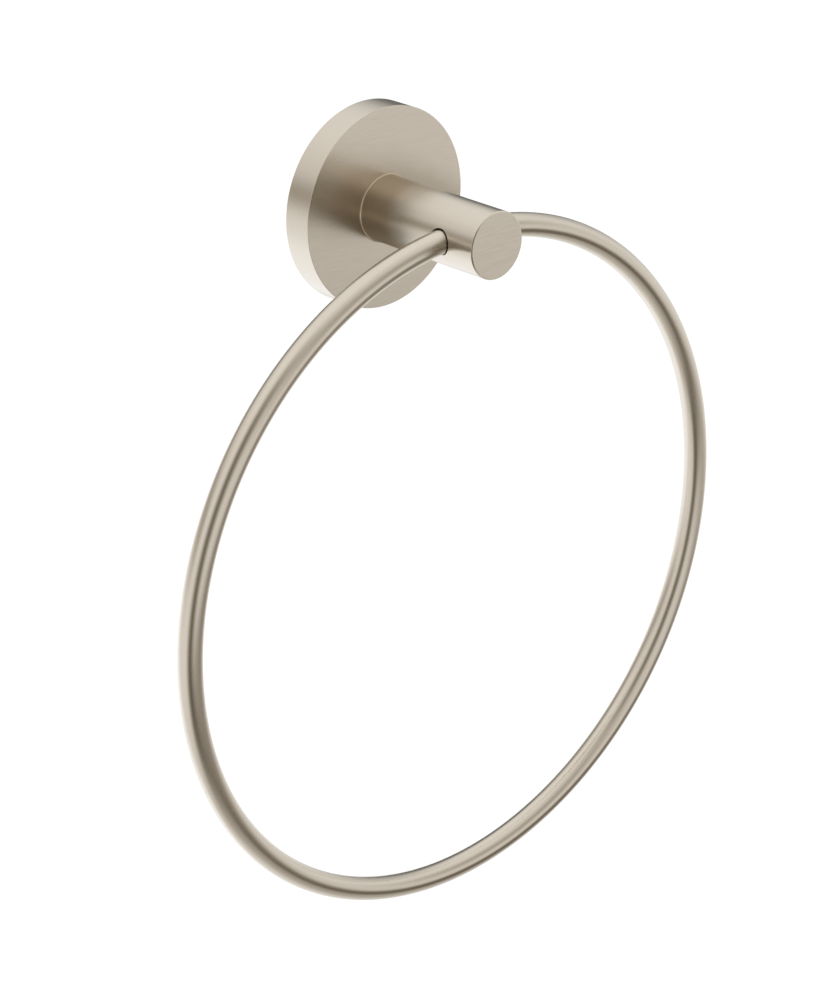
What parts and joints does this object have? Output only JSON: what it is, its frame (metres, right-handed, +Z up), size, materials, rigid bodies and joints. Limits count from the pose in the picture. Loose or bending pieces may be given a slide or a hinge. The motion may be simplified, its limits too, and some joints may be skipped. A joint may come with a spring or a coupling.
{
  "type": "towel ring",
  "caption": "Wall-mounted towel ring: a round rose and straight post in brushed nickel carry a loose, swinging ring of round rod, on a concealed wall bracket.",
  "frame": {"origin": "middle of the rose's back on the wall, which is also the middle of the two wall screw holes", "axes": "+Y into the wall, so the post runs towards -Y; +Z up; +X to the right for someone facing the wall"},
  "size_m": [0.193, 0.05, 0.2167],
  "materials": {
    "satin_nickel": "satin brushed nickel",
    "zinc_plate": "bright zinc plate over steel",
    "screw_steel": "plain stainless steel"
  },
  "bodies": {
    "wall_fixing": {"wall_bracket": "zinc_plate", "rose": "satin_nickel", "post": "satin_nickel", "post_screw": "screw_steel", "lock_washer": "screw_steel", "rose_set_screw": "screw_steel"},
    "hanging_ring": {"ring": "satin_nickel"}
  },
  "joints": [
    {"name": "ring_swing", "type": "hinge", "parent": "wall_fixing", "child": "hanging_ring", "pos_m": [0, -0.0379, 0], "axis": [-1, 0, 0], "range_deg": [-10.5, 190.5]}
  ]
}
